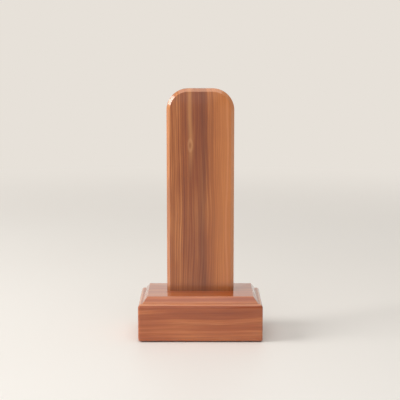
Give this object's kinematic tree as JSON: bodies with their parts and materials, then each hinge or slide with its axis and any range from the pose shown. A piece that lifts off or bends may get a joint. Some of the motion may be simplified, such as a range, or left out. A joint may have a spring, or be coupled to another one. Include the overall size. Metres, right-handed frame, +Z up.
{
  "type": "memorial tablet",
  "caption": "Upright lacquered wooden board with rounded top corners and chamfered edges, standing by a tenon in a two-tier plinth on felt pads.",
  "frame": {"origin": "middle of the plane that the felt pads stand on", "axes": "+Z up, the board's front faces -Y, +X to the right as seen from the front"},
  "size_m": [0.1, 0.062, 0.2015],
  "materials": {
    "board_wood": "fine upright grain under clear satin lacquer",
    "plinth_wood": "flowing level grain under clear gloss lacquer",
    "dowel_wood": "bare beech",
    "pad_felt": "pressed dark felt"
  },
  "bodies": {
    "plinth": {"lower_plinth": "plinth_wood", "upper_plinth": "plinth_wood", "locating_dowel_left": "dowel_wood", "locating_dowel_right": "dowel_wood", "felt_pad_front_left": "pad_felt", "felt_pad_front_right": "pad_felt", "felt_pad_back_left": "pad_felt", "felt_pad_back_right": "pad_felt"},
    "tablet": {"tablet_board": "board_wood"}
  },
  "joints": [
    {"name": "tablet_lift", "type": "slide", "parent": "plinth", "child": "tablet", "axis": [0, 0, 1], "range_m": [0, 0.03]}
  ]
}
